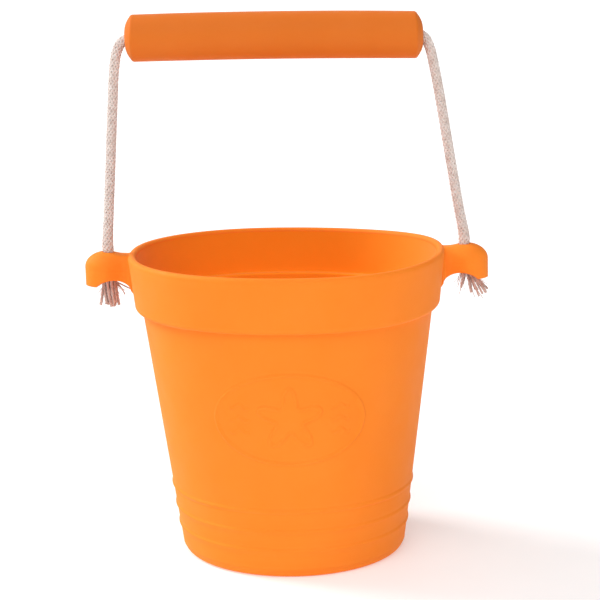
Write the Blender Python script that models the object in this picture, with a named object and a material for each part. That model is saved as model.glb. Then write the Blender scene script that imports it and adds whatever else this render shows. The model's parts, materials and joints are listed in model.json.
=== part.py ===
"""Soft silicone sand bucket with a rope handle and a silicone grip.

The bucket stands on z = 0 with its axis on Z. Its two lugs lie along X and the
handle swings about the X axis through the mouths of the lug holes.
Driving dimensions are in millimetres; MM turns them into metres.
"""

import math

import bmesh
import bpy
from mathutils import Matrix, Vector

MM = 0.001
GAP = 0.3

# Bucket wall
HEIGHT = 135.0
RIM_RADIUS = 70.0
WALL_TOP_RADIUS = 64.5
WALL_TOP_Z = 110.0
BASE_RADIUS = 50.2
WALL = 3.0
FLOOR = 4.0
BASE_FILLET = 4.0
FLOOR_FILLET = 5.0
LIP_THICKNESS = 3.5
COLLAR_Z = 111.0
COLLAR_LOW_RADIUS = 67.9
COLLAR_EDGE = 2.3
LEDGE_Z = 114.0
LEDGE_RADIUS = 65.0
BEAD_HEIGHTS = (12.6, 21.5, 31.2)
BEAD_PROUD = 0.55
BEAD_HALF = 1.4
BUCKET_SEGMENTS = 72

# Raised badge on the front of the wall
BADGE_Z = 73.0
BADGE_HALF_WIDTH = 33.0
BADGE_HALF_HEIGHT = 20.5
BADGE_LINE = 1.3
BADGE_PROUD = 0.5
STAR_OUTER = 14.5
STAR_INNER = 6.6

# Lugs
LUG_ROOT_X = 68.0
LUG_HEAD_X = 80.5
LUG_TIP_X = 89.8
LUG_TOP_Z = 135.0
LUG_SHOULDER_Z = 127.7
LUG_FOOT_Z = 120.0
LUG_ROOT_Z = 115.8
LUG_ARCH_X = 77.0
LUG_ARCH_Z = 123.1
LUG_ARCH_RADIUS = 10.6
LUG_HEAD_HALF = 8.5
LUG_NECK_HALF = 6.8
HOLE_X = 79.2
HOLE_RADIUS = 2.5
RECESS_RADIUS = 5.2
RECESS_TOP_Z = 131.7

# Rope and grip
ROPE_RADIUS = 2.2
HINGE_Z = 138.4
GRIP_RISE = 91.6
GRIP_Z = HINGE_Z + GRIP_RISE
GRIP_X = -2.1
GRIP_LENGTH = 129.4
GRIP_RADIUS = 10.0
GRIP_END_RADIUS = 9.9
GRIP_EDGE = 1.6
GRIP_DOME = 2.2
GRIP_BORE = 2.6
GRIP_MOUTH_RADIUS = 5.4
GRIP_MOUTH_DEPTH = 3.0
KNOT_RADIUS = 4.5
KNOT_HALF_HEIGHT = 3.9
TAIL_LENGTH = 13.0
TAIL_LOW_RADIUS = 3.3

# Rope route from the left hinge point to the right one, as (x, z)
ROPE_ROUTE = (
    (-HOLE_X, HINGE_Z),
    (-78.0, 152.8),
    (-75.9, 177.0),
    (-73.8, 201.1),
    (-72.2, 217.2),
    (-70.6, 224.5),
    (-68.2, 228.4),
    (-63.6, GRIP_Z),
    (-48.0, GRIP_Z),
    (-2.0, GRIP_Z),
    (44.0, GRIP_Z),
    (59.4, GRIP_Z),
    (63.3, 228.3),
    (65.5, 223.9),
    (67.3, 215.7),
    (70.1, 199.1),
    (73.9, 172.9),
    (77.0, 151.8),
    (HOLE_X, HINGE_Z),
)


def clear_scene():
    for item in list(bpy.data.objects):
        bpy.data.objects.remove(item, do_unlink=True)


def material(name, colour, roughness, metallic=0.0):
    made = bpy.data.materials.new(name)
    made.use_nodes = True
    shader = made.node_tree.nodes["Principled BSDF"]
    shader.inputs["Base Color"].default_value = (*colour, 1.0)
    shader.inputs["Roughness"].default_value = roughness
    shader.inputs["Metallic"].default_value = metallic
    made.diffuse_color = (*colour, 1.0)
    return made


def add_object(name, vertices, faces, surface=None, smooth=True):
    """Make a mesh object from millimetre points, with outward normals."""
    mesh = bpy.data.meshes.new(name)
    mesh.from_pydata([Vector(v) * MM for v in vertices], [], faces)
    work = bmesh.new()
    work.from_mesh(mesh)
    bmesh.ops.recalc_face_normals(work, faces=work.faces)
    work.to_mesh(mesh)
    work.free()
    for face in mesh.polygons:
        face.use_smooth = smooth
    made = bpy.data.objects.new(name, mesh)
    bpy.context.scene.collection.objects.link(made)
    if surface:
        mesh.materials.append(surface)
    return made


def arc(centre_r, centre_z, radius, start, end, steps):
    """Points of a circular arc, angles in degrees from the +r direction."""
    points = []
    for step in range(steps + 1):
        angle = math.radians(start + (end - start) * step / steps)
        points.append((centre_r + radius * math.cos(angle),
                       centre_z + radius * math.sin(angle)))
    return points


def lathe(profile, segments):
    """Turn an (r, z) outline about Z. The outline's r = 0 ends become poles."""
    vertices = []
    rings = []
    for radius, height in profile:
        if radius < 1e-6:
            rings.append([len(vertices)])
            vertices.append((0.0, 0.0, height))
            continue
        ring = []
        for step in range(segments):
            angle = 2.0 * math.pi * step / segments
            ring.append(len(vertices))
            vertices.append((radius * math.cos(angle), radius * math.sin(angle), height))
        rings.append(ring)
    closed = len(rings[0]) > 1
    pairs = list(zip(rings, rings[1:]))
    if closed:
        pairs.append((rings[-1], rings[0]))
    faces = []
    for lower, upper in pairs:
        for step in range(segments):
            after = (step + 1) % segments
            if len(lower) == 1:
                faces.append((lower[0], upper[step], upper[after]))
            elif len(upper) == 1:
                faces.append((lower[step], lower[after], upper[0]))
            else:
                faces.append((lower[step], lower[after], upper[after], upper[step]))
    return vertices, faces


def loft(sections):
    """Skin closed loops of equal length and cap both ends."""
    count = len(sections[0])
    vertices = [point for section in sections for point in section]
    faces = []
    for row in range(len(sections) - 1):
        for step in range(count):
            after = (step + 1) % count
            a = row * count
            b = a + count
            faces.append((a + step, a + after, b + after, b + step))
    last = (len(sections) - 1) * count
    faces.append(tuple(reversed(range(count))))
    faces.append(tuple(range(last, last + count)))
    return vertices, faces


def boolean(target, tool, operation):
    """Apply an exact Boolean with a hidden tool object."""
    tool.hide_render = True
    tool.display_type = "WIRE"
    step = target.modifiers.new(operation.lower() + "_" + tool.name, "BOOLEAN")
    step.operation = operation
    step.solver = "EXACT"
    step.object = tool


def wall_radius(height):
    taper = (WALL_TOP_RADIUS - BASE_RADIUS) / WALL_TOP_Z
    return BASE_RADIUS + taper * height


def bead(height):
    """Outer points of one raised bead around the wall, from bottom to top."""
    points = []
    for step in range(5):
        along = -1.0 + step / 2.0
        z = height + along * BEAD_HALF
        proud = BEAD_PROUD * (1.0 - along * along)
        points.append((wall_radius(z) + proud, z))
    return points


def bucket_profile():
    """Half section from the outside centre of the floor round to the inside centre."""
    lip = LIP_THICKNESS / 2.0
    base_edge = BASE_RADIUS - BASE_FILLET
    inner_low = wall_radius(FLOOR) - WALL
    inner_top = wall_radius(LEDGE_Z - 4.0) - WALL
    points = [(0.0, 0.0)]
    points += arc(base_edge, BASE_FILLET, BASE_FILLET, -90.0, 0.0, 4)
    for height in BEAD_HEIGHTS:
        points += bead(height)
    points.append((wall_radius(COLLAR_Z), COLLAR_Z))
    points += arc(COLLAR_LOW_RADIUS - COLLAR_EDGE, COLLAR_Z + COLLAR_EDGE,
                  COLLAR_EDGE, -90.0, 0.0, 4)
    points += arc(RIM_RADIUS - lip, HEIGHT - lip, lip, 0.0, 180.0, 6)
    points += [(LEDGE_RADIUS, LEDGE_Z + 0.4), (LEDGE_RADIUS - 0.4, LEDGE_Z)]
    points += [(inner_top + 0.9, LEDGE_Z), (inner_top, LEDGE_Z - 0.9)]
    points += arc(inner_low - FLOOR_FILLET, FLOOR + FLOOR_FILLET, FLOOR_FILLET, 0.0, -90.0, 4)
    points.append((0.0, FLOOR))
    return points


def smoothstep(low, high, value):
    t = min(1.0, max(0.0, (value - low) / (high - low)))
    return t * t * (3.0 - 2.0 * t)


def lug_section(x):
    """Half width, top and bottom of the lug at distance x from the bucket's axis."""
    flare = 2.4 * (1.0 - smoothstep(LUG_ROOT_X, LUG_ROOT_X + 5.0, x))
    widen = (LUG_HEAD_HALF - LUG_NECK_HALF) * smoothstep(73.0, LUG_HEAD_X, x)
    half = LUG_NECK_HALF + flare + widen
    top = LUG_TOP_Z - 0.8 * (1.0 - smoothstep(73.0, 79.0, x))
    past = max(0.0, (x - LUG_HEAD_X) / (LUG_TIP_X + 0.1 - LUG_HEAD_X))
    half *= math.sqrt(1.0 - past ** 2)
    top -= (LUG_TOP_Z - LUG_SHOULDER_Z) * (1.0 - math.sqrt(1.0 - past ** 2.4))
    across = x - LUG_ARCH_X
    drop = LUG_ARCH_RADIUS - math.sqrt(max(0.0, LUG_ARCH_RADIUS ** 2 - across ** 2))
    lowest = LUG_FOOT_Z if across > 0.0 else LUG_ROOT_Z
    return half, top, max(lowest, LUG_ARCH_Z - drop)


def lug_loops(side):
    """Rounded-rectangle loops from inside the collar out to the tip of the lug."""
    stations = [LUG_ROOT_X, 69.4, 71.0, 73.0, 75.5, 78.2, 80.5, 83.0, 85.0, 86.4, 87.8, 89.0, 89.7]
    loops = []
    for x in stations:
        half, top, bottom = lug_section(x)
        middle = (top + bottom) / 2.0
        rise = (top - bottom) / 2.0
        loop = []
        for step in range(20):
            angle = 2.0 * math.pi * (step + 0.5) / 20
            c = math.cos(angle)
            s = math.sin(angle)
            y = half * math.copysign(abs(c) ** 0.55, c)
            z = middle + rise * math.copysign(abs(s) ** 0.55, s)
            loop.append((side * x, y, z))
        loops.append(loop)
    return loops


def upright_cylinder(x, radius, low, high, segments):
    """Closed cylinder along Z, as points and faces."""
    loops = []
    for height in (low, high):
        loop = []
        for step in range(segments):
            angle = 2.0 * math.pi * step / segments
            loop.append((x + radius * math.cos(angle), radius * math.sin(angle), height))
        loops.append(loop)
    return loft(loops)


def ellipse_outline(angle, inset):
    return ((BADGE_HALF_WIDTH - inset) * math.cos(angle),
            (BADGE_HALF_HEIGHT - inset) * math.sin(angle))


def star_outline(angle, inset):
    """Plump five-armed star, pointing up."""
    arms = 0.5 + 0.5 * math.cos(5.0 * (angle - math.pi / 2.0))
    reach = STAR_INNER + (STAR_OUTER - STAR_INNER) * arms ** 1.5 - inset
    return reach * math.cos(angle), reach * math.sin(angle)


def raised_line(outline, steps):
    """Closed raised line that follows the front of the tapered wall."""
    loops = []
    for step in range(steps):
        angle = 2.0 * math.pi * step / steps
        loop = []
        for inset, proud in ((0.0, -0.8), (0.0, BADGE_PROUD), (BADGE_LINE, BADGE_PROUD),
                             (BADGE_LINE, -0.8)):
            across, up = outline(angle, inset)
            z = BADGE_Z + up
            radius = wall_radius(z) + proud
            turn = across / wall_radius(z)
            loop.append((radius * math.sin(turn), -radius * math.cos(turn), z))
        loops.append(loop)
    vertices = [point for loop in loops for point in loop]
    faces = []
    for step in range(steps):
        a = 4 * step
        b = 4 * ((step + 1) % steps)
        for corner in range(4):
            after = (corner + 1) % 4
            faces.append((a + corner, a + after, b + after, b + corner))
    return vertices, faces


def make_bucket(surface):
    body = add_object("bucket_body", *lathe(bucket_profile(), BUCKET_SEGMENTS), surface)
    for side, name in ((-1, "left"), (1, "right")):
        lug = add_object("lug_shape_" + name, *loft(lug_loops(side)))
        boolean(body, lug, "UNION")
    frame = add_object("badge_frame_shape", *raised_line(ellipse_outline, 48))
    boolean(body, frame, "UNION")
    star = add_object("badge_star_shape", *raised_line(star_outline, 50))
    boolean(body, star, "UNION")
    for side, name in ((-1, "left"), (1, "right")):
        x = side * HOLE_X
        recess = add_object("recess_shape_" + name,
                            *upright_cylinder(x, RECESS_RADIUS, 100.0, RECESS_TOP_Z, 20))
        boolean(body, recess, "DIFFERENCE")
        hole = add_object("hole_shape_" + name,
                          *upright_cylinder(x, HOLE_RADIUS, 125.0, 145.0, 16))
        boolean(body, hole, "DIFFERENCE")
    return body


def grip_profile():
    """Half section of the grip as (radius, distance along), closed round its bore."""
    half = GRIP_LENGTH / 2.0
    edge_z = half - GRIP_DOME - GRIP_EDGE
    end = [(GRIP_MOUTH_RADIUS, half), (GRIP_MOUTH_RADIUS + 1.7, half - 0.7)]
    end += arc(GRIP_END_RADIUS - GRIP_EDGE, edge_z, GRIP_EDGE, 60.0, 0.0, 4)
    low_end = [(radius, -z) for radius, z in reversed(end)]
    mouth = half - GRIP_MOUTH_DEPTH
    bore = [(GRIP_BORE + 0.6, -mouth), (GRIP_BORE, -mouth + 2.0)]
    bore += [(radius, -z) for radius, z in reversed(bore)]
    middle = [(GRIP_RADIUS, half * 0.45), (GRIP_RADIUS, -half * 0.45)]
    return end + middle + low_end + bore


def make_grip(surface):
    vertices, faces = lathe(grip_profile(), 32)
    turned = [(z, y, -x) for x, y, z in vertices]
    return add_object("handle_grip", turned, faces, surface)


def smooth_route(points, parts):
    """Points on a Catmull-Rom curve through the route's own points."""
    chain = [Vector((x, 0.0, z)) for x, z in points]
    ends = [chain[0] * 2.0 - chain[1]] + chain + [chain[-1] * 2.0 - chain[-2]]
    made = []
    for a, b, c, d in zip(ends, ends[1:], ends[2:], ends[3:]):
        spans = [max(1e-6, (q - p).length) ** 0.5 for p, q in ((a, b), (b, c), (c, d))]
        leave = (b - a) / spans[0] - (c - a) / (spans[0] + spans[1]) + (c - b) / spans[1]
        arrive = (c - b) / spans[1] - (d - b) / (spans[1] + spans[2]) + (d - c) / spans[2]
        leave *= spans[1]
        arrive *= spans[1]
        count = max(1, min(parts, round((c - b).length / (4.0 * ROPE_RADIUS))))
        count = 2 if (c - b).length < 9.0 else count
        for step in range(count):
            t = step / count
            made.append(b * (2 * t ** 3 - 3 * t ** 2 + 1) + leave * (t ** 3 - 2 * t ** 2 + t)
                        + c * (3 * t ** 2 - 2 * t ** 3) + arrive * (t ** 3 - t ** 2))
    made.append(chain[-1])
    return made


def add_tube(name, points, radii, surface):
    """Round tube along points, with a radius factor at each one."""
    curve = bpy.data.curves.new(name, "CURVE")
    curve.dimensions = "3D"
    curve.bevel_depth = ROPE_RADIUS * MM
    curve.bevel_resolution = 2
    curve.render_resolution_u = 0
    curve.use_fill_caps = True
    spline = curve.splines.new("POLY")
    spline.points.add(len(points) - 1)
    for slot, point, radius in zip(spline.points, points, radii):
        slot.co = (*(point * MM), 1.0)
        slot.radius = radius
    curve.materials.append(surface)
    made = bpy.data.objects.new(name, curve)
    bpy.context.scene.collection.objects.link(made)
    return made


def make_rope_loop(surface):
    """Rope from one hinge point through the grip to the other, with rounded ends."""
    path = smooth_route(ROPE_ROUTE, 5)
    down_left = (path[0] - path[1]).normalized()
    down_right = (path[-1] - path[-2]).normalized()
    round_end = ((0.5, 0.866), (0.85, 0.527))
    points = [path[0] + down_left * ROPE_RADIUS * d for d, _ in reversed(round_end)]
    points += path
    points += [path[-1] + down_right * ROPE_RADIUS * d for d, _ in round_end]
    radii = [r for _, r in reversed(round_end)] + [1.0] * len(path) + [r for _, r in round_end]
    return add_tube("rope_loop", points, radii, surface)


def make_rope_end(side, name, surface):
    """Short run of rope from the knot up through the lug to just under the hinge point."""
    low = Vector((side * HOLE_X, 0.0, RECESS_TOP_Z))
    high = Vector((side * HOLE_X, 0.0, HINGE_Z - ROPE_RADIUS - GAP))
    points = [low, (low + high) / 2.0, high]
    return add_tube("rope_through_lug_" + name, points, [1.0] * 3, surface)


def make_knot(side, name, surface):
    """Stopper knot under the lug, as a squashed ball."""
    top = RECESS_TOP_Z - GAP
    profile = [(0.0, top - 2.0 * KNOT_HALF_HEIGHT)]
    for step in range(1, 8):
        angle = -math.pi / 2.0 + math.pi * step / 8
        profile.append((KNOT_RADIUS * math.cos(angle),
                        top - KNOT_HALF_HEIGHT + KNOT_HALF_HEIGHT * math.sin(angle)))
    profile.append((0.0, top))
    vertices, faces = lathe(profile, 16)
    moved = [(x + side * HOLE_X, y, z) for x, y, z in vertices]
    return add_object("knot_" + name, moved, faces, surface)


def make_tail(side, name, lean, surface):
    """Frayed rope end under the knot, as a flared cone that leans by lean degrees."""
    profile = [(0.0, 0.0), (ROPE_RADIUS, 0.0), (TAIL_LOW_RADIUS, -0.45 * TAIL_LENGTH),
               (TAIL_LOW_RADIUS, -0.85 * TAIL_LENGTH), (TAIL_LOW_RADIUS * 0.6, -TAIL_LENGTH),
               (0.0, -TAIL_LENGTH)]
    vertices, faces = lathe(profile, 12)
    made = add_object("frayed_tail_" + name, vertices, faces, surface)
    top = RECESS_TOP_Z - 2.0 * KNOT_HALF_HEIGHT - 3.0 * GAP
    made.location = Vector((side * HOLE_X, 0.0, top)) * MM
    made.rotation_euler = (0.0, math.radians(-lean), 0.0)
    return made


def main():
    clear_scene()
    silicone = material("orange_silicone", (0.95, 0.29, 0.035), 0.55)
    grip_silicone = material("orange_grip_silicone", (0.86, 0.20, 0.03), 0.5)
    cotton = material("cotton_rope", (0.80, 0.71, 0.66), 0.9)
    frayed = material("frayed_cotton", (0.72, 0.52, 0.45), 0.95)

    make_bucket(silicone)
    for side, name, lean in ((-1, "left", 0.0), (1, "right", 25.0)):
        make_rope_end(side, name, cotton)
        make_knot(side, name, cotton)
        make_tail(side, name, lean, frayed)

    hinge = bpy.data.objects.new("handle_hinge_axis", None)
    hinge.location = Vector((0.0, 0.0, HINGE_Z)) * MM
    bpy.context.scene.collection.objects.link(hinge)
    rope = make_rope_loop(cotton)
    rope.parent = hinge
    rope.matrix_parent_inverse = Matrix.Translation(-hinge.location)
    grip = make_grip(grip_silicone)
    grip.parent = hinge
    grip.location = Vector((GRIP_X, 0.0, GRIP_RISE)) * MM


main()
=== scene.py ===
"""Looks of the soft silicone sand bucket: fine surfaces, braided rope, materials, light and camera.

Lengths are in millimetres until MM turns them into metres, as in the CAD source.
"""

import json
import math
import random

import bmesh
import bpy
import numpy as np
from mathutils import Matrix, Vector


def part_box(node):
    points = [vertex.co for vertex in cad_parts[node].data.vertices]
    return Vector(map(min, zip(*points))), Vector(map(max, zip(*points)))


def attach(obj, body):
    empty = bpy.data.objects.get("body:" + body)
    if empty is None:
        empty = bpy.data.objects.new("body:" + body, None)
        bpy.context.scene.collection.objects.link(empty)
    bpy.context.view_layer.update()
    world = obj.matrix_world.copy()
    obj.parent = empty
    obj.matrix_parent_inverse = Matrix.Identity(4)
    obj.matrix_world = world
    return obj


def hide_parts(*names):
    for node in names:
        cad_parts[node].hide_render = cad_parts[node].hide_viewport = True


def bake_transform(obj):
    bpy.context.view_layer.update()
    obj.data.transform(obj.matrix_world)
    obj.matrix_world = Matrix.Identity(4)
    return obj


MM = 0.001

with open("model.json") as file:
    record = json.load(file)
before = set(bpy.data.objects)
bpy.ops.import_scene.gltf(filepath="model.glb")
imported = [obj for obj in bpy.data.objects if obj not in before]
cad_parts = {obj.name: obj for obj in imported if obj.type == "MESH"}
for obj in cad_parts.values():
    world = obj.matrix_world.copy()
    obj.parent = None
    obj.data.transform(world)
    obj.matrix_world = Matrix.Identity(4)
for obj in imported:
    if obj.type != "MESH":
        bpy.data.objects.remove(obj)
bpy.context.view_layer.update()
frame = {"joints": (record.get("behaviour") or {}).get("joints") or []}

BODY_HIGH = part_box("bucket_body")[1] / MM
GRIP_LOW, GRIP_HIGH = (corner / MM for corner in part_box("handle_grip"))
JOINTS = {joint["name"]: joint for joint in frame["joints"]}

# Bucket wall
HEIGHT = BODY_HIGH.z
RIM_RADIUS = BODY_HIGH.y
WALL_TOP_RADIUS = 64.5
WALL_TOP_Z = 110.0
BASE_RADIUS = 50.2
WALL = 3.0
FLOOR = 4.0
BASE_FILLET = 3.2
FLOOR_FILLET = 5.0
CENTRE_RADIUS = 3.0
LIP_THICKNESS = 3.5
COLLAR_Z = 111.0
COLLAR_LOW_RADIUS = 67.9
COLLAR_EDGE = 2.0
NECK_FILLET = 0.5
LEDGE_Z = 114.0
LEDGE_RADIUS = 65.0
LEDGE_FILLET = 0.4
LEDGE_EDGE = 0.9
BEAD_HEIGHTS = (12.6, 21.5, 31.2)
BEAD_PROUD = 0.55
BEAD_HALF = 1.35
# Mesh spacing up the wall: over a bead, over the badge, and elsewhere
BEAD_STEP = 0.25
BADGE_STEP = 0.42
PLAIN_STEP = 1.5
# Points round the bucket, over the badge and over the rest
BADGE_COLUMNS = 176
PLAIN_COLUMNS = 202
# Rows of the mesh from the top of the lip down to where the inside's material starts: a brighter,
# deeper orange copy of the silicone that paints the light glowing inside the bucket
INNER_START = 9

# The soft bucket sags a little: it leans to -X, the rope loop leans more, and the rim is
# squared, narrowed along Y and lifted where the lugs are, more on +X than on -X
LEAN = 1.45 / 135.0
LOOP_LEAN = 0.006
SQUARENESS = 0.22
NARROWING = 0.027
RIM_RISE = 0.1
EDGE_RISE = 1.35
SIDE_DIP = 0.75
SIDE_RISE = 1.3
LUG_RISE = 3.2
LOOP_REACH = 65.0

# Raised badge: an oval line round a five-armed star with waves on either side, which are
# WAVE_SHARE as high as the line
BADGE_Z = 73.0
BADGE_HALF_WIDTH = 33.0
BADGE_HALF_HEIGHT = 20.5
BADGE_LINE = 1.3
BADGE_PROUD = 0.5
STAR_OUTER = 14.5
STAR_INNER = 6.6
STAR_ARMS = 5.0
STAR_POINT = 1.5
STAR_FIELD = 0.25
WAVE_LEVELS = (-5.5, 0.0, 5.5)
WAVE_MIDDLE = 21.5
WAVE_HALF = 4.6
WAVE_LENGTH = 6.0
WAVE_SWING = 0.9
WAVE_FADE = 0.8
WAVE_SHARE = 0.8

# Lugs, with X measured out from the bucket's axis. The boxiness is the power of the vault's
# outline: 1 is an ellipse, and less is squarer. The head adds HEAD_BOXINESS to the neck's
LUG_ROOT_X = 68.0
LUG_WALL_X = 70.8
LUG_NECK_X = 72.0
LUG_HEAD_X = 80.5
LUG_TIP_X = BODY_HIGH.x
LUG_TOP_Z = 135.0
LUG_SHOULDER_Z = 127.7
LUG_FOOT_Z = 120.0
LUG_ROOT_Z = 115.8
LUG_ARCH_X = 77.0
LUG_ARCH_Z = 123.1
LUG_ARCH_RADIUS = 10.6
LUG_HEAD_HALF = 8.5
LUG_NECK_HALF = 6.2
LUG_FILLET = 1.6
LUG_DIP = 0.8
LUG_DIP_X = (73.0, 79.0)
LUG_TIP_POWER = 1.8
NECK_BOXINESS = 0.62
HEAD_BOXINESS = 0.3
CREASE_PROUD = 0.08
CREASE_DROP = 0.4
UNDER_CORNER = 0.9
VAULT_STEPS = 48
SHARP_ANGLE = 50.0
HOLE_X = 79.2
HOLE_RADIUS = 2.5
HOLE_EDGE = 0.9
HOLE_CUT_Z = (126.0, 140.0)
RECESS_RADIUS = 5.2
RECESS_FLARE = 0.8
RECESS_FILLET = 2.0
RECESS_TOP_Z = 131.7
RECESS_CUT_Z = (112.0, 119.0)
CUTTER_SEGMENTS = 64

# Grip
GRIP_Z = JOINTS["grip_spin"]["pos_m"][2] / MM
GRIP_X = JOINTS["grip_spin"]["pos_m"][0] / MM
GRIP_LENGTH = GRIP_HIGH.x - GRIP_LOW.x
# The soft sleeve stands this far proud of the CAD sleeve
GRIP_SWELL = 0.3
GRIP_RADIUS = (GRIP_HIGH.y - GRIP_LOW.y) / 2.0 + GRIP_SWELL
GRIP_END_RADIUS = GRIP_RADIUS - 0.1
GRIP_EDGE = 1.6
GRIP_EDGE_ANGLE = 62.0
GRIP_DOME = 2.2
GRIP_DOME_POWER = 1.9
GRIP_BOW = 0.7
GRIP_BOW_MIDDLE = 0.47
GRIP_TILT = 0.0035
GRIP_BORE = 2.6
GRIP_MOUTH_DEPTH = 3.0
GRIP_MOUTH_EDGE = 0.8
GRIP_MOUTH_FLARE = 1.0
GRIP_SEGMENTS = 128

# Rope, knots and frayed tails. The rope is a little fuller just above the lugs
ROPE_RADIUS = 2.35
ROPE_INTO_KNOT = 2.5
ROPE_UPRIGHT = 3.0
ROPE_LOOSENING = 0.3
ROPE_LOOSE_REACH = 7.0
ROPE_CORE_INSET = 0.55
ROPE_STEP = 0.42
ROUTE_STEPS = 60
BRAID_STRANDS = 8
BRAID_PITCH = 21.0
BRAID_COVER = 0.62
BRAID_LIFT = 0.16
BRAID_THICK = 0.36
BRAID_SIDES = 6
BRAID_INTO_GRIP = 8.0
HINGE_Z = JOINTS["handle_swing"]["pos_m"][2] / MM
KNOT_HALF_HEIGHT = 3.9
KNOT_GAP = 0.3
KNOT_ROPE_RADIUS = 1.95
KNOT_CORE_RADIUS = 1.45
KNOT_PITCH = 19.0
KNOT_LOOP = 1.55
KNOT_LIFT = 1.7
TAIL_TOP_Z = 123.0
PLIES = 3
PLY_PITCH = 5.0
FUZZ_COUNT = 26

# The rope's middle as (x, z), from mouth to mouth of the lugs, as in the CAD source
ROPE_ROUTE = (
    (-HOLE_X, HINGE_Z),
    (-78.0, 152.8),
    (-75.9, 177.0),
    (-73.8, 201.1),
    (-72.2, 217.2),
    (-70.6, 224.5),
    (-68.2, 228.4),
    (-63.6, GRIP_Z),
    (-48.0, GRIP_Z),
    (-2.0, GRIP_Z),
    (44.0, GRIP_Z),
    (59.4, GRIP_Z),
    (63.3, 228.3),
    (65.5, 223.9),
    (67.3, 215.7),
    (70.1, 199.1),
    (73.9, 172.9),
    (77.0, 151.8),
    (HOLE_X, HINGE_Z),
)


# Loose fibres of a tail as (heading x, y, z, length, radius), yarns as (x, y, lean in x,
# lean in y, length, radius)
LEFT_STRAYS = (
    (1.0, -0.18, -0.46, 9.0, 0.42),
    (1.0, -0.10, -0.60, 8.2, 0.38),
    (0.75, -0.30, -0.90, 7.0, 0.24),
    (0.45, -0.30, -1.00, 9.5, 0.22),
    (-1.0, -0.20, -0.85, 5.6, 0.28),
    (-0.6, -0.25, -1.35, 9.8, 0.26),
    (-0.95, -0.10, -0.60, 4.4, 0.32),
)
RIGHT_YARNS = (
    (-0.2, -1.6, -0.16, -0.05, 8.4, 0.50),
    (0.6, -1.2, -0.10, 0.00, 6.8, 0.50),
    (0.2, 0.6, -0.12, 0.05, 7.4, 0.45),
    (1.2, -1.0, 0.05, -0.10, 10.4, 0.34),
    (1.3, -0.6, 0.24, -0.10, 10.6, 0.50),
    (1.5, 0.6, 0.26, 0.05, 10.2, 0.50),
    (1.6, -1.6, 0.36, -0.12, 13.0, 0.50),
    (1.4, 1.4, 0.34, 0.10, 12.2, 0.48),
    (1.9, -1.3, 0.62, -0.10, 13.4, 0.54),
    (2.0, -0.4, 0.70, 0.00, 13.4, 0.54),
    (2.0, 0.5, 0.74, 0.08, 13.2, 0.52),
    (2.2, 0.0, 0.82, 0.02, 13.2, 0.50),
    (1.8, -0.9, 0.54, -0.06, 12.8, 0.50),
)
RIGHT_STRAYS = (
    (-0.10, -0.20, -1.6, 9.5, 0.20),
    (0.25, -0.20, -1.2, 12.0, 0.22),
    (0.40, -0.30, -1.0, 14.0, 0.24),
    (1.0, -0.10, -0.85, 10.5, 0.18),
    (1.0, 0.10, -0.70, 9.0, 0.16),
)

# Stage and light
FLOOR_REACH = 30000.0
FLOOR_GLOW = 0.34
SKY = 0.28
# Softboxes as (name, degrees round from the front towards -X, degrees up, strength, width)
SOFTBOXES = (
    ("key_left", 114.0, 34.0, 0.72, 26.0),
    ("front_top", 10.0, 47.0, 0.33, 36.0),
    ("front_left", 45.0, 35.0, 0.12, 30.0),
    ("front_right", -45.0, 15.0, 0.11, 30.0),
    ("top_left", 85.0, 68.0, 0.14, 40.0),
    ("back", 180.0, 30.0, 0.08, 30.0),
)

# Camera, in metres and degrees
CAMERA_AIM = Vector((0.0043, 0.0, 0.1127))
CAMERA_DISTANCE = 0.8
CAMERA_ELEVATION = 11.39
CAMERA_ROLL = 0.95
CAMERA_LENS = 107.27
CAMERA_SENSOR = 36.0


# ---------------------------------------------------------------- geometry helpers

def arc(centre_r, centre_z, radius, start, end, steps):
    """Points of an arc from start to end degrees, both included."""
    points = []
    for step in range(steps + 1):
        angle = math.radians(start + (end - start) * step / steps)
        points.append((centre_r + radius * math.cos(angle),
                       centre_z + radius * math.sin(angle)))
    return points


def stretch(start, end, spacing):
    """Points from start to end, both included, about spacing apart."""
    length = math.dist(start, end)
    count = max(1, round(length / spacing))
    return [(start[0] + (end[0] - start[0]) * step / count,
             start[1] + (end[1] - start[1]) * step / count) for step in range(count + 1)]


def ease(t):
    """Smooth rise from 0 to 1 as t goes from 0 to 1."""
    return t * t * (3.0 - 2.0 * t)


def smoothstep(low, high, value):
    return ease(min(1.0, max(0.0, (value - low) / (high - low))))


def settled(points):
    """Millimetre points moved by the lean and rise of the soft bucket, as an array."""
    made = np.array(points, float).reshape(-1, 3)
    x, z = made[:, 0], made[:, 2]
    above = np.clip((z - HEIGHT) / LOOP_REACH, 0.0, 1.0)
    weight = np.minimum(z / HEIGHT, 1.0) ** 2 * (1.0 - ease(above))
    across = np.clip(x / RIM_RADIUS, -1.0, 1.0)
    beyond = np.maximum(0.0, np.abs(x) / RIM_RADIUS - 1.0)
    lift = RIM_RISE + EDGE_RISE * across ** 4 - SIDE_DIP * across + SIDE_RISE * across ** 3
    made[:, 2] = z + weight * (lift + LUG_RISE * beyond)
    made[:, 0] = x - LEAN * z - LOOP_LEAN * np.maximum(0.0, z - HEIGHT)
    return made


def run_along(line):
    """Distance of each point of a line from its start."""
    return np.concatenate([[0.0], np.cumsum(np.linalg.norm(np.diff(line, axis=0), axis=1))])


def mesh_object(name, points, faces, material=None):
    mesh = bpy.data.meshes.new(name)
    mesh.from_pydata([tuple(p) for p in np.asarray(points) * MM], [], faces)
    mesh.polygons.foreach_set("use_smooth", [True] * len(mesh.polygons))
    if material:
        mesh.materials.append(material)
    made = bpy.data.objects.new(name, mesh)
    bpy.context.scene.collection.objects.link(made)
    return made


def grid_faces(rows, columns, closed_rows=False, start=0):
    """Quads of a grid whose columns close into rings, and its rows too if closed_rows."""
    faces = []
    last = rows if closed_rows else rows - 1
    for row in range(last):
        a = start + row * columns
        b = start + ((row + 1) % rows) * columns
        for step in range(columns):
            after = (step + 1) % columns
            faces.append((a + step, a + after, b + after, b + step))
    return faces


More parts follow.
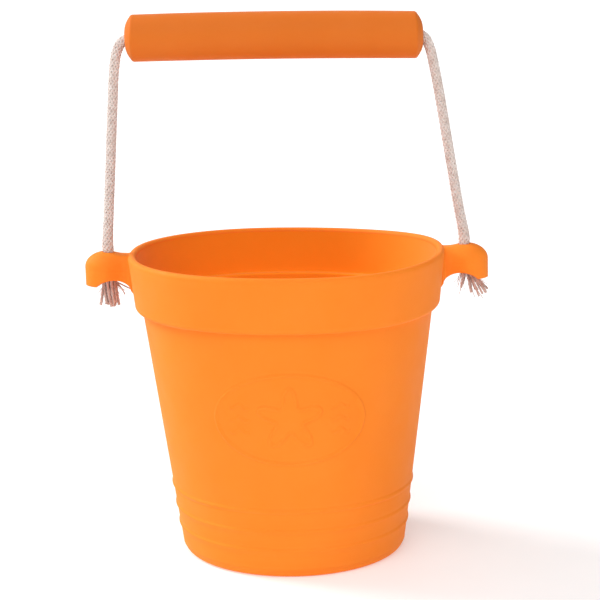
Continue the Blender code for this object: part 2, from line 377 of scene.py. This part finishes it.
def closed_faces(rows, columns):
    """Faces of rings with a cap at each end."""
    faces = grid_faces(rows, columns)
    faces.append(tuple(range(columns)))
    faces.append(tuple(reversed(range((rows - 1) * columns, rows * columns))))
    return faces


# ---------------------------------------------------------------- bucket

def wall_radius(height):
    taper = (WALL_TOP_RADIUS - BASE_RADIUS) / WALL_TOP_Z
    return BASE_RADIUS + taper * height


def bead_height(z):
    """How far the three beads stand proud of the wall at height z."""
    nearest = min(abs(z - middle) for middle in BEAD_HEIGHTS)
    reach = min(1.0, nearest / BEAD_HALF)
    return BEAD_PROUD * (1.0 - reach ** 2) ** 1.5


def outer_wall_points():
    """Outline of the wall with its beads, from the base fillet up to the collar."""
    points = []
    z = BASE_FILLET
    while z < COLLAR_Z - NECK_FILLET - 0.1:
        points.append((wall_radius(z) + bead_height(z), z))
        near_bead = min(abs(z - middle) for middle in BEAD_HEIGHTS) < BEAD_HALF + 0.5
        near_badge = abs(z - BADGE_Z) < BADGE_HALF_HEIGHT + 1.5
        z += BEAD_STEP if near_bead else BADGE_STEP if near_badge else PLAIN_STEP
    return points


def bucket_profile():
    """Half section as (radius, height), from the middle of the base out, up and in again."""
    lip = LIP_THICKNESS / 2.0
    inner_low = wall_radius(FLOOR) - WALL
    inner_top = wall_radius(LEDGE_Z - 4.0) - WALL
    neck = wall_radius(COLLAR_Z)
    points = stretch((CENTRE_RADIUS, 0.0), (BASE_RADIUS - BASE_FILLET, 0.0), 6.0)[:-1]
    points += arc(BASE_RADIUS - BASE_FILLET, BASE_FILLET, BASE_FILLET, -90.0, 0.0, 14)[:-1]
    points += outer_wall_points()
    points += arc(neck + NECK_FILLET, COLLAR_Z - NECK_FILLET, NECK_FILLET, 180.0, 90.0, 5)
    points += arc(COLLAR_LOW_RADIUS - COLLAR_EDGE, COLLAR_Z + COLLAR_EDGE, COLLAR_EDGE,
                  -90.0, 0.0, 12)
    points += stretch((COLLAR_LOW_RADIUS, COLLAR_Z + COLLAR_EDGE), (RIM_RADIUS, HEIGHT - lip),
                      1.2)[1:-1]
    points += arc(RIM_RADIUS - lip, HEIGHT - lip, lip, 0.0, 180.0, 18)
    points += stretch((RIM_RADIUS - 2.0 * lip, HEIGHT - lip),
                      (LEDGE_RADIUS, LEDGE_Z + LEDGE_FILLET), 1.5)[1:]
    points += arc(LEDGE_RADIUS - LEDGE_FILLET, LEDGE_Z + LEDGE_FILLET, LEDGE_FILLET,
                  0.0, -90.0, 3)[1:]
    points += arc(inner_top + LEDGE_EDGE, LEDGE_Z - LEDGE_EDGE, LEDGE_EDGE, 90.0, 180.0, 6)
    points += stretch((inner_top, LEDGE_Z - 1.2), (inner_low, FLOOR + FLOOR_FILLET), 2.5)
    points += arc(inner_low - FLOOR_FILLET, FLOOR + FLOOR_FILLET, FLOOR_FILLET,
                  0.0, -90.0, 12)[1:]
    points += stretch((inner_low - FLOOR_FILLET, FLOOR), (CENTRE_RADIUS, FLOOR), 6.0)[1:]
    return points


def bucket_angles():
    """Angles round the bucket, closer together over the badge, from the front round."""
    reach = math.degrees(BADGE_HALF_WIDTH / wall_radius(BADGE_Z)) + 2.0
    fine = np.linspace(-reach, reach, BADGE_COLUMNS)
    coarse = np.linspace(reach, 360.0 - reach, PLAIN_COLUMNS)[1:-1]
    return np.radians(np.concatenate([fine, coarse]) - 90.0)


def line_height(distance):
    """Height of a raised line at a distance from its middle, with soft shoulders."""
    t = np.clip((np.abs(distance) / (0.5 * BADGE_LINE) - 0.35) / 0.9, 0.0, 1.0)
    return BADGE_PROUD * (1.0 - ease(t))


def badge_relief(across, up):
    """Height of the badge above the wall: an oval line, a plump star and small waves."""
    middle = 0.5 * BADGE_LINE
    wide = BADGE_HALF_WIDTH - middle
    tall = BADGE_HALF_HEIGHT - middle
    rho = np.hypot(across / wide, up / tall)
    slope = np.hypot(across / wide ** 2, up / tall ** 2) / np.maximum(rho, 1e-6)
    relief = line_height((rho - 1.0) / np.maximum(slope, 1e-6))
    around = STAR_ARMS * (np.arctan2(up, across) - math.pi / 2.0)
    arms = 0.5 + 0.5 * np.cos(around)
    reach = STAR_INNER + (STAR_OUTER - STAR_INNER) * arms ** STAR_POINT - middle
    turn = 0.5 * STAR_ARMS * (STAR_OUTER - STAR_INNER) * STAR_POINT * np.sqrt(arms)
    turn = turn * -np.sin(around)
    distance = (np.hypot(across, up) - reach) / np.sqrt(1.0 + (turn / reach) ** 2)
    relief = np.maximum(relief, line_height(distance))
    inside = 1.0 / (1.0 + np.exp(np.clip(4.0 * distance, -30.0, 30.0)))
    relief = np.maximum(relief, STAR_FIELD * BADGE_PROUD * inside)
    aside = np.abs(across) - WAVE_MIDDLE
    ends = np.clip((WAVE_HALF - np.abs(aside)) / WAVE_FADE, 0.0, 1.0)
    for level in WAVE_LEVELS:
        wave = up - level - WAVE_SWING * np.cos(2.0 * math.pi * aside / WAVE_LENGTH)
        relief = np.maximum(relief, line_height(wave) * ends * WAVE_SHARE)
    return relief


def soft_points(radius, angle, z):
    """Ring points of the sagging bucket. All three are arrays of the same shape."""
    weight = z / HEIGHT
    power = 2.0 + SQUARENESS * weight
    cosine = np.cos(angle)
    sine = np.sin(angle)
    factor = (np.abs(cosine) ** power + np.abs(sine) ** power) ** (-1.0 / power)
    narrow = 1.0 - NARROWING * weight
    return settled(np.stack([radius * factor * cosine, radius * factor * sine * narrow, z], -1))


def make_bucket_shell(material, inner_painted_glow):
    """The tub as one closed skin, with the badge raised on its front."""
    profile = np.array(bucket_profile())
    angles = bucket_angles()
    radius = profile[:, :1] + 0.0 * angles
    z = profile[:, 1:] + 0.0 * angles
    outer = (radius > wall_radius(z) - 1.0) & (z > BASE_FILLET) & (z < COLLAR_Z - 1.0)
    turn = np.arctan2(np.cos(angles), -np.sin(angles))
    relief = badge_relief(turn * wall_radius(z), z - BADGE_Z)
    radius = radius + np.where(outer, relief, 0.0)
    points = soft_points(radius, angles + 0.0 * z, z)
    rows = len(profile)
    columns = len(angles)
    faces = grid_faces(rows, columns)
    bottom = len(points)
    points = np.vstack([points, settled([(0.0, 0.0, 0.0), (0.0, 0.0, FLOOR)])])
    last = (rows - 1) * columns
    for step in range(columns):
        after = (step + 1) % columns
        faces.append((step, bottom, after))
        faces.append((last + after, bottom + 1, last + step))
    shell = mesh_object("bucket_shell", points, faces, material)
    # The inside wears a brighter, deeper orange copy of the silicone: painted light glowing inside
    # the bucket
    shell.data.materials.append(inner_painted_glow)
    lip_top = int(np.argmax(profile[:, 1]))
    inside = [int(face[0] >= (lip_top + INNER_START) * columns) for face in faces]
    shell.data.polygons.foreach_set("material_index", inside)
    return shell


# ---------------------------------------------------------------- lugs

def lug_section(x):
    """Half width, top, bottom and boxiness of the lug at distance x from the bucket's axis."""
    into = min(1.0, max(0.0, (LUG_WALL_X - x) / LUG_FILLET))
    flare = LUG_FILLET * (1.0 - math.sqrt(1.0 - into ** 2))
    grow = smoothstep(LUG_NECK_X, LUG_HEAD_X, x)
    half = LUG_NECK_HALF + flare + (LUG_HEAD_HALF - LUG_NECK_HALF) * grow
    top = LUG_TOP_Z - LUG_DIP * (1.0 - smoothstep(*LUG_DIP_X, x)) + 0.4 * flare
    past = min(0.9995, max(0.0, (x - LUG_HEAD_X) / (LUG_TIP_X - LUG_HEAD_X)))
    half *= math.sqrt(1.0 - past ** 2)
    top -= (LUG_TOP_Z - LUG_SHOULDER_Z - 0.3) * (1.0 - math.sqrt(1.0 - past ** LUG_TIP_POWER))
    across = x - LUG_ARCH_X
    drop = LUG_ARCH_RADIUS - math.sqrt(max(0.0, LUG_ARCH_RADIUS ** 2 - across ** 2))
    lowest = LUG_FOOT_Z if across > 0.0 else LUG_ROOT_Z
    bottom = max(lowest, LUG_ARCH_Z - drop) - 0.6 * flare
    return half, top, bottom, NECK_BOXINESS + HEAD_BOXINESS * grow


def lug_stations():
    """Distances from the bucket's axis where the lug has a section, closer at the round tip."""
    straight = list(np.linspace(LUG_ROOT_X, LUG_HEAD_X, 44))
    turned = [LUG_HEAD_X + (LUG_TIP_X - LUG_HEAD_X) * math.sin(math.radians(angle))
              for angle in np.linspace(0.0, 88.5, 34)[1:]]
    return straight + turned


def lug_outline(half, top, bottom, boxiness):
    """One (y, z) loop: a vault over upright sides, with a fine crease where they meet."""
    loop = []
    for step in range(VAULT_STEPS + 1):
        angle = math.pi * step / VAULT_STEPS
        y = math.copysign(abs(math.cos(angle)) ** boxiness, math.cos(angle))
        loop.append((half * y, LUG_SHOULDER_Z + (top - LUG_SHOULDER_Z)
                     * math.sin(angle) ** boxiness))
    proud = min(CREASE_PROUD, 0.02 * half)
    corner = min(UNDER_CORNER, 0.3 * half)
    side = [(half - 0.5 * proud, LUG_SHOULDER_Z - 0.3 * CREASE_DROP),
            (half + proud, LUG_SHOULDER_Z - CREASE_DROP)]
    side += [(half + proud, (LUG_SHOULDER_Z + bottom) / 2.0)]
    side += [(half + proud - corner + r, z) for r, z in
             arc(0.0, bottom + corner, corner, 0.0, -90.0, 5)]
    loop += [(-y, z) for y, z in side]
    return loop + list(reversed(side))


def lug_loops(side):
    """All points of a lug, section by section, with the counts of sections and of points."""
    loops = []
    for x in lug_stations():
        outline = lug_outline(*lug_section(x))
        loops += [(side * x, y, z) for y, z in outline]
    return loops, len(lug_stations()), len(outline)


def turned_cutter(name, x, profile):
    """Closed turned shape round a vertical line at x, from an (r, z) outline."""
    points = []
    for radius, z in profile:
        for step in range(CUTTER_SEGMENTS):
            angle = 2.0 * math.pi * step / CUTTER_SEGMENTS
            points.append((x + radius * math.cos(angle), radius * math.sin(angle), z))
    return mesh_object(name, settled(points), closed_faces(len(profile), CUTTER_SEGMENTS))


def outward(made):
    """Turn a closed mesh's faces outward."""
    work = bmesh.new()
    work.from_mesh(made.data)
    bmesh.ops.recalc_face_normals(work, faces=work.faces)
    work.to_mesh(made.data)
    work.free()
    return made


def make_lug(side, name, material):
    """A lug with its rope hole and the hollow for the knot cut out."""
    points, rows, columns = lug_loops(side)
    faces = closed_faces(rows, columns)
    lug = outward(mesh_object("lug_" + name, settled(points), faces, material))
    x = side * HOLE_X
    recess = [(RECESS_RADIUS + RECESS_FLARE, z) for z in RECESS_CUT_Z]
    recess += arc(RECESS_RADIUS - RECESS_FILLET, RECESS_TOP_Z - RECESS_FILLET, RECESS_FILLET,
                  0.0, 90.0, 8)
    hole = [(HOLE_RADIUS, HOLE_CUT_Z[0])]
    hole += arc(HOLE_RADIUS + HOLE_EDGE, LUG_TOP_Z - HOLE_EDGE, HOLE_EDGE, 180.0, 90.0, 8)
    hole += [(HOLE_RADIUS + HOLE_EDGE, HOLE_CUT_Z[1])]
    for label, profile in (("recess", recess), ("hole", hole)):
        cutter = outward(turned_cutter(label + "_cut_" + name, x, profile))
        step = lug.modifiers.new(label, "BOOLEAN")
        step.operation = "DIFFERENCE"
        step.solver = "EXACT"
        step.object = cutter
    shaped = bpy.data.meshes.new_from_object(lug.evaluated_get(
        bpy.context.evaluated_depsgraph_get()))
    cutters = [step.object for step in lug.modifiers]
    lug.modifiers.clear()
    lug.data = shaped
    for cutter in cutters:
        bpy.data.objects.remove(cutter, do_unlink=True)
    shaped.polygons.foreach_set("use_smooth", [True] * len(shaped.polygons))
    shaped.set_sharp_from_angle(angle=math.radians(SHARP_ANGLE))
    return lug


# ---------------------------------------------------------------- grip

def grip_profile():
    """Half section as (radius, distance along), closed round the bore."""
    half = GRIP_LENGTH / 2.0
    edge_z = half - GRIP_DOME - GRIP_EDGE
    edge_r = GRIP_END_RADIUS - GRIP_EDGE
    mouth_r = GRIP_BORE + GRIP_MOUTH_FLARE
    end = arc(mouth_r, half - GRIP_MOUTH_EDGE, GRIP_MOUTH_EDGE, 180.0, 90.0, 5)
    last_r = edge_r + GRIP_EDGE * math.cos(math.radians(GRIP_EDGE_ANGLE))
    last_z = edge_z + GRIP_EDGE * math.sin(math.radians(GRIP_EDGE_ANGLE))
    for step in range(1, 8):
        t = step / 8.0
        end.append((mouth_r + (last_r - mouth_r) * t,
                    half - (half - last_z) * t ** GRIP_DOME_POWER))
    end += arc(edge_r, edge_z, GRIP_EDGE, GRIP_EDGE_ANGLE, 0.0, 12)
    low_end = [(radius, -z) for radius, z in reversed(end)]
    mouth = half - GRIP_MOUTH_DEPTH
    bore = [(GRIP_BORE + 0.4, -mouth), (GRIP_BORE, -mouth + 2.0)]
    bore += [(radius, -z) for radius, z in reversed(bore)]
    middle = []
    for step in range(41):
        along = 1.0 - step / 20.0
        swell = 1.0 - along ** 4
        middle.append((GRIP_END_RADIUS + (GRIP_RADIUS - GRIP_END_RADIUS) * swell,
                       along * (edge_z - 1.5)))
    return end + middle + low_end + bore


def make_grip(material):
    """The tubular sleeve, bowed up a little and tilted as it hangs on the rope."""
    profile = grip_profile()
    points = []
    for radius, along in profile:
        bow = GRIP_BOW * (GRIP_BOW_MIDDLE - (2.0 * along / GRIP_LENGTH) ** 2) - GRIP_TILT * along
        for step in range(GRIP_SEGMENTS):
            angle = 2.0 * math.pi * step / GRIP_SEGMENTS
            points.append((GRIP_X + along, radius * math.cos(angle),
                           GRIP_Z + bow + radius * math.sin(angle)))
    faces = grid_faces(len(profile), GRIP_SEGMENTS, closed_rows=True)
    return outward(mesh_object("grip_sleeve", settled(points), faces, material))


# ---------------------------------------------------------------- rope

def smooth_route(points, spacing):
    """Evenly spaced points on a Catmull-Rom curve through the route's own points."""
    chain = [Vector(p) for p in points]
    ends = [chain[0] * 2.0 - chain[1]] + chain + [chain[-1] * 2.0 - chain[-2]]
    made = []
    for a, b, c, d in zip(ends, ends[1:], ends[2:], ends[3:]):
        spans = [max(1e-6, (q - p).length) ** 0.5 for p, q in ((a, b), (b, c), (c, d))]
        leave = (b - a) / spans[0] - (c - a) / (spans[0] + spans[1]) + (c - b) / spans[1]
        arrive = (c - b) / spans[1] - (d - b) / (spans[1] + spans[2]) + (d - c) / spans[2]
        leave *= spans[1]
        arrive *= spans[1]
        for t in np.arange(ROUTE_STEPS) / ROUTE_STEPS:
            made.append(b * (2 * t ** 3 - 3 * t ** 2 + 1) + leave * (t ** 3 - 2 * t ** 2 + t)
                        + c * (3 * t ** 2 - 2 * t ** 3) + arrive * (t ** 3 - t ** 2))
    made.append(chain[-1])
    line = np.array([tuple(p) for p in made])
    run = run_along(line)
    count = max(2, round(run[-1] / spacing) + 1)
    even = np.linspace(0.0, run[-1], count)
    return np.stack([np.interp(even, run, line[:, k]) for k in range(3)], -1)


def path_frames(path):
    """Tangent and two steady normals along a path."""
    tangent = np.gradient(path, axis=0)
    tangent /= np.linalg.norm(tangent, axis=1)[:, None]
    first = np.cross(tangent[0], (0.0, 1.0, 0.0))
    if np.linalg.norm(first) < 0.1:
        first = np.cross(tangent[0], (1.0, 0.0, 0.0))
    normals = [first / np.linalg.norm(first)]
    for row in tangent[1:]:
        turned = normals[-1] - row * np.dot(normals[-1], row)
        normals.append(turned / np.linalg.norm(turned))
    normals = np.array(normals)
    return tangent, normals, np.cross(tangent, normals)


def add_tube_faces(rows, sides, start, faces):
    """Add the sides and end caps of a tube whose points begin at start."""
    faces.extend(grid_faces(rows, sides, start=start))
    faces.append(tuple(start + step for step in reversed(range(sides))))
    last = start + (rows - 1) * sides
    faces.append(tuple(last + step for step in range(sides)))


def tube(path, radii, sides, points, faces):
    """Add a tube with capped ends to a mesh under construction."""
    _, across, over = path_frames(path)
    start = len(points)
    for row, u, v, radius in zip(path, across, over, radii):
        for step in range(sides):
            angle = 2.0 * math.pi * step / sides
            points.append(row + radius * (math.cos(angle) * u + math.sin(angle) * v))
    add_tube_faces(len(path), sides, start, faces)


def braid(path, radius, pitch, points, faces):
    """Add a round diamond braid, with as many strands each way, along an evenly spaced path.

    The radius is one value or one for each point of the path.
    """
    radius = radius + np.zeros(len(path))
    tangent, across, over = path_frames(path)
    run = run_along(path)
    width = BRAID_COVER * math.pi * radius / BRAID_STRANDS
    for way in (1, -1):
        for strand in range(BRAID_STRANDS):
            angle = 2.0 * math.pi * strand / BRAID_STRANDS + way * 2.0 * math.pi * run / pitch
            weave = way * BRAID_LIFT * np.cos(math.pi * 2.0 * BRAID_STRANDS * run / pitch)
            outward_dir = np.cos(angle)[:, None] * across + np.sin(angle)[:, None] * over
            side_dir = np.cross(tangent, outward_dir)
            centre = path + outward_dir * (radius - BRAID_THICK - BRAID_LIFT + weave)[:, None]
            start = len(points)
            for row in range(len(path)):
                for step in range(BRAID_SIDES):
                    turn = 2.0 * math.pi * step / BRAID_SIDES
                    points.append(centre[row] + side_dir[row] * width[row] * math.cos(turn)
                                  + outward_dir[row] * BRAID_THICK * math.sin(turn))
            add_tube_faces(len(path), BRAID_SIDES, start, faces)


def make_rope(material):
    """The whole rope from knot to knot, with its braid wherever it can be seen."""
    low = RECESS_TOP_Z - ROPE_INTO_KNOT
    upright = HINGE_Z - ROPE_UPRIGHT
    route = [(-HOLE_X, 0.0, low), (-HOLE_X, 0.0, upright)]
    route += [(x, 0.0, z) for x, z in ROPE_ROUTE]
    route += [(HOLE_X, 0.0, upright), (HOLE_X, 0.0, low)]
    path = smooth_route(route, ROPE_STEP)
    half = GRIP_LENGTH / 2.0 - BRAID_INTO_GRIP
    hidden = np.flatnonzero((np.abs(path[:, 0] - GRIP_X) < half) & (path[:, 2] > GRIP_Z - 1.0))
    above = path[:, 2] - LUG_TOP_Z
    loosened = ROPE_LOOSENING * np.exp(-(above / ROPE_LOOSE_REACH) ** 2) * (above > 0.0)
    radius = ROPE_RADIUS + loosened
    points = []
    faces = []
    for part in (slice(None, hidden[0] + 1), slice(hidden[-1], None)):
        braid(path[part], radius[part], BRAID_PITCH, points, faces)
    tube(path[::4], radius[::4] - ROPE_CORE_INSET, 10, points, faces)
    return mesh_object("braided_rope", settled(points), faces, material)


def make_knot(side, name, material):
    """Pulled-tight overhand knot that fills the hollow under the lug."""
    turns = np.linspace(0.0, 2.0 * math.pi, 100)
    path = np.stack([np.sin(turns) + KNOT_LOOP * np.sin(2.0 * turns),
                     np.cos(turns) - KNOT_LOOP * np.cos(2.0 * turns),
                     -KNOT_LIFT * np.sin(3.0 * turns)], -1)
    centre_z = RECESS_TOP_Z - KNOT_GAP - KNOT_HALF_HEIGHT
    path += np.array([side * HOLE_X, 0.0, centre_z])
    points = []
    faces = []
    braid(path, KNOT_ROPE_RADIUS, KNOT_PITCH, points, faces)
    tube(path[::3], np.full(len(path[::3]), KNOT_CORE_RADIUS), 10, points, faces)
    return mesh_object("stopper_knot_" + name, settled(points), faces, material)


def fibre_path(start, heading, length, bend, chance, steps):
    """A loose fibre that leaves start along heading and curls at random."""
    heading = Vector(heading).normalized()
    curl = Vector((chance.uniform(-1, 1), chance.uniform(-1, 1), chance.uniform(-0.4, 0.2)))
    path = [Vector(start)]
    for _ in range(steps):
        heading = (heading + curl * bend / steps).normalized()
        path.append(path[-1] + heading * length / steps)
    return np.array([tuple(p) for p in path])


def yarn(start, heading, length, radius, bend, chance, points, faces):
    """A yarn of three twisted plies whose end opens into a few fibres."""
    path = fibre_path(start, heading, length, bend, chance, steps=16)
    tangent, across, over = path_frames(path)
    run = np.linspace(0.0, length, len(path))
    opened = radius * (0.5 + 0.35 * np.clip(run / length - 0.7, 0.0, 1.0))
    for ply in range(PLIES):
        angle = 2.0 * math.pi * (ply / PLIES + run / PLY_PITCH) + start[0]
        twist = np.cos(angle)[:, None] * across + np.sin(angle)[:, None] * over
        radii = radius * np.linspace(0.62, 0.5, len(path))
        tube(path + twist * opened[:, None], radii, 7, points, faces)
    for _ in range(3):
        sideways = Vector((chance.uniform(-0.3, 0.3), chance.uniform(-0.3, 0.3), 0.0))
        fibre = fibre_path(path[-2], Vector(tangent[-1]) + sideways,
                           chance.uniform(0.5, 1.3), 0.4, chance, steps=4)
        tube(fibre, np.linspace(0.16, 0.07, len(fibre)), 5, points, faces)


def round_bundle():
    """Yarns of a frayed end that still hangs in one round bundle, cut off level."""
    yarns = []
    for count, reach in ((9, 2.5), (4, 1.1)):
        for step in range(count):
            angle = 2.0 * math.pi * (step + 0.3) / count
            x = math.cos(angle)
            y = math.sin(angle)
            length = 12.9 + 0.6 * math.sin(3.0 * angle)
            yarns.append((reach * x, reach * y, 0.05 * x, 0.05 * y, length, 0.68))
    return yarns


def make_tail(side, name, yarns, strays, seed, material):
    """Frayed end under a knot, of yarns, stray fibres and short fuzz."""
    chance = random.Random(seed)
    top = Vector((side * HOLE_X, 0.0, TAIL_TOP_Z + 1.0))
    points = []
    faces = []
    for x, y, lean_x, lean_y, length, radius in yarns:
        start = top + Vector((x, y, 0.0))
        heading = Vector((lean_x, lean_y, -1.0))
        yarn(start, heading, length, radius, 0.25, chance, points, faces)
    for x, y, z, length, radius in strays:
        flat = Vector((x, y, 0.0))
        start = top + flat.normalized() * 1.6 + Vector((0.0, 0.0, -1.8))
        path = fibre_path(start, (x, y, z), length, 0.8, chance, steps=14)
        tube(path, radius * np.linspace(1.0, 0.6, len(path)), 6, points, faces)
    for _ in range(FUZZ_COUNT):
        turn = chance.uniform(0.0, 2.0 * math.pi)
        flat = Vector((math.cos(turn), math.sin(turn), 0.0))
        start = top + flat * chance.uniform(1.0, 2.2) - Vector((0.0, 0.0, 2.0))
        path = fibre_path(start, flat * 0.45 + Vector((0.0, 0.0, -1.0)),
                          chance.uniform(3.0, 9.0), 0.9, chance, steps=10)
        tube(path, np.linspace(0.12, 0.06, len(path)), 5, points, faces)
    return mesh_object("frayed_end_" + name, settled(points), faces, material)


# ---------------------------------------------------------------- materials

def new_material(name):
    made = bpy.data.materials.new(name)
    made.use_nodes = True
    tree = made.node_tree
    return made, tree, tree.nodes["Principled BSDF"]


def noise(tree, coords, scale, detail, roughness=0.5):
    node = tree.nodes.new("ShaderNodeTexNoise")
    node.inputs["Scale"].default_value = scale
    node.inputs["Detail"].default_value = detail
    node.inputs["Roughness"].default_value = roughness
    tree.links.new(coords, node.inputs["Vector"])
    return node.outputs["Fac"]


def ramp(tree, value, stops):
    """Colour ramp of (place, colour) stops."""
    node = tree.nodes.new("ShaderNodeValToRGB")
    elements = node.color_ramp.elements
    while len(elements) < len(stops):
        elements.new(0.5)
    for element, (place, colour) in zip(elements, stops):
        element.position = place
        element.color = (*colour, 1.0)
    tree.links.new(value, node.inputs["Fac"])
    return node.outputs["Color"]


def grey_range(tree, value, low, high):
    """Spread the middle of a noise over low to high."""
    node = tree.nodes.new("ShaderNodeMapRange")
    node.inputs["From Min"].default_value = 0.3
    node.inputs["From Max"].default_value = 0.7
    node.inputs["To Min"].default_value = low
    node.inputs["To Max"].default_value = high
    tree.links.new(value, node.inputs["Value"])
    return node.outputs["Result"]


def add_bump(tree, shader, value, distance, strength, below=None):
    node = tree.nodes.new("ShaderNodeBump")
    node.inputs["Distance"].default_value = distance
    node.inputs["Strength"].default_value = strength
    tree.links.new(value, node.inputs["Height"])
    if below:
        tree.links.new(below, node.inputs["Normal"])
    tree.links.new(node.outputs["Normal"], shader.inputs["Normal"])
    return node.outputs["Normal"]


def object_coords(tree):
    return tree.nodes.new("ShaderNodeTexCoord").outputs["Object"]


def silicone(name, dark, light, roughness, gloss=0.2, sheen=0.02):
    """Matte silicone: cloudy colour, faint dusty sheen, fine moulded texture."""
    made, tree, shader = new_material(name)
    coords = object_coords(tree)
    cloud = noise(tree, coords, 28.0, 5.0, 0.6)
    tree.links.new(ramp(tree, cloud, ((0.3, dark), (0.7, light))), shader.inputs["Base Color"])
    smudge = noise(tree, coords, 90.0, 3.0)
    tree.links.new(grey_range(tree, smudge, roughness - 0.05, roughness + 0.07),
                   shader.inputs["Roughness"])
    soft = add_bump(tree, shader, noise(tree, coords, 45.0, 2.0), 0.0002, 0.35)
    add_bump(tree, shader, noise(tree, coords, 2600.0, 2.0), 0.00002, 0.5, below=soft)
    shader.inputs["Subsurface Weight"].default_value = 0.1
    shader.inputs["Subsurface Radius"].default_value = (1.0, 0.35, 0.1)
    shader.inputs["Subsurface Scale"].default_value = 0.0015
    shader.inputs["IOR"].default_value = 1.41
    shader.inputs["Specular IOR Level"].default_value = gloss
    shader.inputs["Sheen Weight"].default_value = sheen
    shader.inputs["Sheen Roughness"].default_value = 0.5
    shader.inputs["Sheen Tint"].default_value = (1.0, 0.8, 0.6, 1.0)
    return made


def cotton(name, dark, light, dirt):
    """Undyed cotton: mottled yarn colour, fuzz sheen and fine fibre bump."""
    made, tree, shader = new_material(name)
    coords = object_coords(tree)
    mottled = noise(tree, coords, 420.0, 4.0, 0.65)
    stops = ((0.25, dirt), (0.45, dark), (0.7, light))
    tree.links.new(ramp(tree, mottled, stops), shader.inputs["Base Color"])
    add_bump(tree, shader, noise(tree, coords, 5200.0, 2.0), 0.00006, 0.8)
    shader.inputs["Roughness"].default_value = 0.92
    shader.inputs["Specular IOR Level"].default_value = 0.2
    shader.inputs["Sheen Weight"].default_value = 0.35
    shader.inputs["Sheen Roughness"].default_value = 0.6
    shader.inputs["Subsurface Weight"].default_value = 0.1
    shader.inputs["Subsurface Radius"].default_value = (1.0, 0.7, 0.5)
    shader.inputs["Subsurface Scale"].default_value = 0.0006
    return made


def floor_material():
    """Pale paper that glows faintly, so that it stays nearly white under soft light."""
    made, tree, shader = new_material("pale_floor")
    coords = object_coords(tree)
    paper = noise(tree, coords, 60.0, 3.0)
    tree.links.new(ramp(tree, paper, ((0.3, (0.75, 0.75, 0.75)), (0.7, (0.77, 0.77, 0.77)))),
                   shader.inputs["Base Color"])
    shader.inputs["Roughness"].default_value = 0.9
    shader.inputs["Specular IOR Level"].default_value = 0.1
    shader.inputs["Emission Color"].default_value = (1.0, 1.0, 1.0, 1.0)
    shader.inputs["Emission Strength"].default_value = FLOOR_GLOW
    return made


# ---------------------------------------------------------------- stage

def make_stage():
    corners = [(x * FLOOR_REACH, y * FLOOR_REACH, 0.0)
               for x, y in ((-1, -1), (1, -1), (1, 1), (-1, 1))]
    floor = mesh_object("studio_floor", corners, [(0, 1, 2, 3)], floor_material())
    world = bpy.data.worlds.new("studio")
    world.use_nodes = True
    background = world.node_tree.nodes["Background"]
    background.inputs["Color"].default_value = (1.0, 1.0, 1.0, 1.0)
    background.inputs["Strength"].default_value = SKY
    bpy.context.scene.world = world


def make_lights():
    """Softboxes as broad distant lights, so that they light the object evenly."""
    for name, around, up, strength, width in SOFTBOXES:
        light = bpy.data.lights.new(name, "SUN")
        light.energy = strength * math.pi
        light.angle = math.radians(width)
        made = bpy.data.objects.new(name, light)
        bpy.context.scene.collection.objects.link(made)
        turn = math.radians(around)
        tilt = math.radians(up)
        towards = Vector((-math.sin(turn) * math.cos(tilt), -math.cos(turn) * math.cos(tilt),
                          math.sin(tilt)))
        made.rotation_euler = towards.to_track_quat("Z", "Y").to_euler()


def make_camera():
    """Camera in front of the bucket, looking down a little and rolled a little."""
    tilt = math.radians(CAMERA_ELEVATION)
    roll = math.radians(CAMERA_ROLL)
    ahead = Vector((0.0, math.cos(tilt), -math.sin(tilt)))
    right = Vector((1.0, 0.0, 0.0))
    up = right.cross(ahead)
    turned_right = right * math.cos(roll) - up * math.sin(roll)
    turned_up = right * math.sin(roll) + up * math.cos(roll)
    camera = bpy.data.cameras.new("camera")
    camera.lens = CAMERA_LENS
    camera.sensor_width = CAMERA_SENSOR
    made = bpy.data.objects.new("camera", camera)
    bpy.context.scene.collection.objects.link(made)
    turn = Matrix((turned_right, turned_up, -ahead)).transposed()
    made.matrix_world = Matrix.Translation(CAMERA_AIM - ahead * CAMERA_DISTANCE) @ turn.to_4x4()
    bpy.context.scene.camera = made


# ---------------------------------------------------------------- assembly

def build():
    orange = silicone("orange_silicone_fine", (0.97, 0.236, 0.017), (0.99, 0.254, 0.022), 0.65)
    # Brighter, deeper orange copy of the same silicone for the inside: painted light glowing inside
    # the bucket
    inner_orange_painted_glow = silicone("orange_inside_painted_glow_fine", (0.98, 0.280, 0.013), (0.99, 0.300, 0.018), 0.7,
                            gloss=0.1, sheen=0.22)
    # Darker copy of the same silicone for the grip: painted shade on the grip
    grip_orange_painted_shade = silicone("orange_grip_painted_shade_fine", (0.69, 0.158, 0.014), (0.72, 0.171, 0.018), 0.6)
    rope_cotton = cotton("rope_cotton_fine", (0.69, 0.57, 0.515), (0.80, 0.71, 0.665),
                         (0.56, 0.43, 0.38))
    frayed_cotton = cotton("frayed_cotton_fine", (0.60, 0.41, 0.35), (0.74, 0.56, 0.50),
                           (0.42, 0.25, 0.20))

    shell = make_bucket_shell(orange, inner_orange_painted_glow)
    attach(shell, "bucket")
    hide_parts("bucket_body")
    for side, name in ((-1, "left"), (1, "right")):
        lug = make_lug(side, name, orange)
        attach(lug, "bucket")
        knot = make_knot(side, name, rope_cotton)
        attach(knot, "bucket")
        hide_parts("knot_" + name)

    tails = (
        (-1, "left", round_bundle(), LEFT_STRAYS, 5),
        (1, "right", RIGHT_YARNS, RIGHT_STRAYS, 11),
    )
    for side, name, yarns, strays, seed in tails:
        tail = make_tail(side, name, yarns, strays, seed, frayed_cotton)
        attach(tail, "bucket")
        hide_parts("frayed_tail_" + name)

    grip = make_grip(grip_orange_painted_shade)
    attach(grip, "grip")
    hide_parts("handle_grip")

    rope = make_rope(rope_cotton)
    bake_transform(rope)
    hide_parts("rope_loop", "rope_through_lug_left", "rope_through_lug_right")

    make_stage()
    make_lights()
    make_camera()
    bpy.context.scene.view_settings.view_transform = "Standard"


build()
